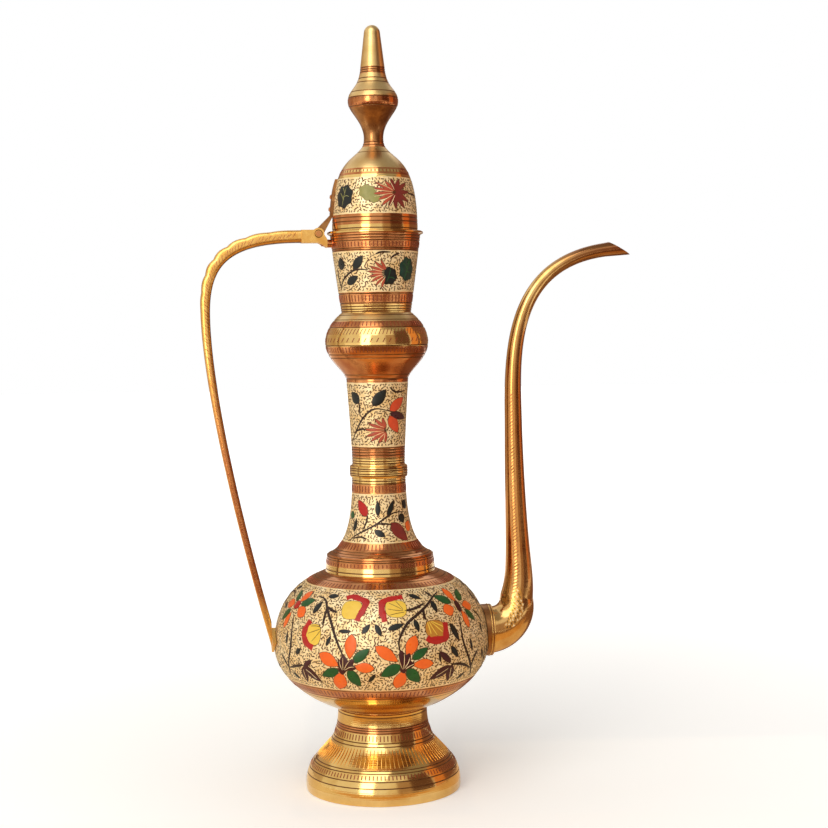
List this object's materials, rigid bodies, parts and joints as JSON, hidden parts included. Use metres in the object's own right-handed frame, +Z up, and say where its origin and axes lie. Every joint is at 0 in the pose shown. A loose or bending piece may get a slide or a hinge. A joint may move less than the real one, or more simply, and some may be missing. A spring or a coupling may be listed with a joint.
{
  "type": "surahi",
  "caption": "Tall enamelled brass ewer: round belly on a flared foot, stepped neck with a bulb, hinged domed lid with a spire finial, strap handle and long curved spout.",
  "frame": {"origin": "centre of the foot's base, on the vessel's axis, at table height", "axes": "+Z up the vessel's axis to the finial, +X towards the spout, -X towards the handle"},
  "size_m": [0.3212, 0.159, 0.56],
  "materials": {
    "polished_brass": "polished and lacquered, warm gold",
    "copper_lacquer": "brass under reddish, copper-toned lacquer with turned lines",
    "enamelled_brass": "engraved pale brass ground with floral enamel"
  },
  "bodies": {
    "vessel": {"foot": "polished_brass", "foot_washer": "polished_brass", "foot_screw": "polished_brass", "belly_lower": "enamelled_brass", "belly_upper": "enamelled_brass", "spout_flange": "copper_lacquer", "spout": "polished_brass", "shoulder_collar": "copper_lacquer", "lower_neck": "enamelled_brass", "neck_ring": "polished_brass", "upper_neck": "enamelled_brass", "neck_bulb": "polished_brass", "mouth_cup": "enamelled_brass", "mouth_rim": "copper_lacquer", "handle": "polished_brass", "handle_pad": "polished_brass", "hinge_fork": "polished_brass", "handle_stud": "copper_lacquer", "hinge_pin": "copper_lacquer"},
    "lid": {"lid_dome": "enamelled_brass", "lid_bezel": "polished_brass", "lid_leaf": "polished_brass", "leaf_rivets": "copper_lacquer", "finial": "polished_brass", "finial_washer": "polished_brass", "finial_nut": "polished_brass"}
  },
  "joints": [
    {"name": "lid_hinge", "type": "hinge", "parent": "vessel", "child": "lid", "pos_m": [-0.042, 0, 0.4088], "axis": [0, -1, 0], "range_deg": [0, 95]}
  ]
}
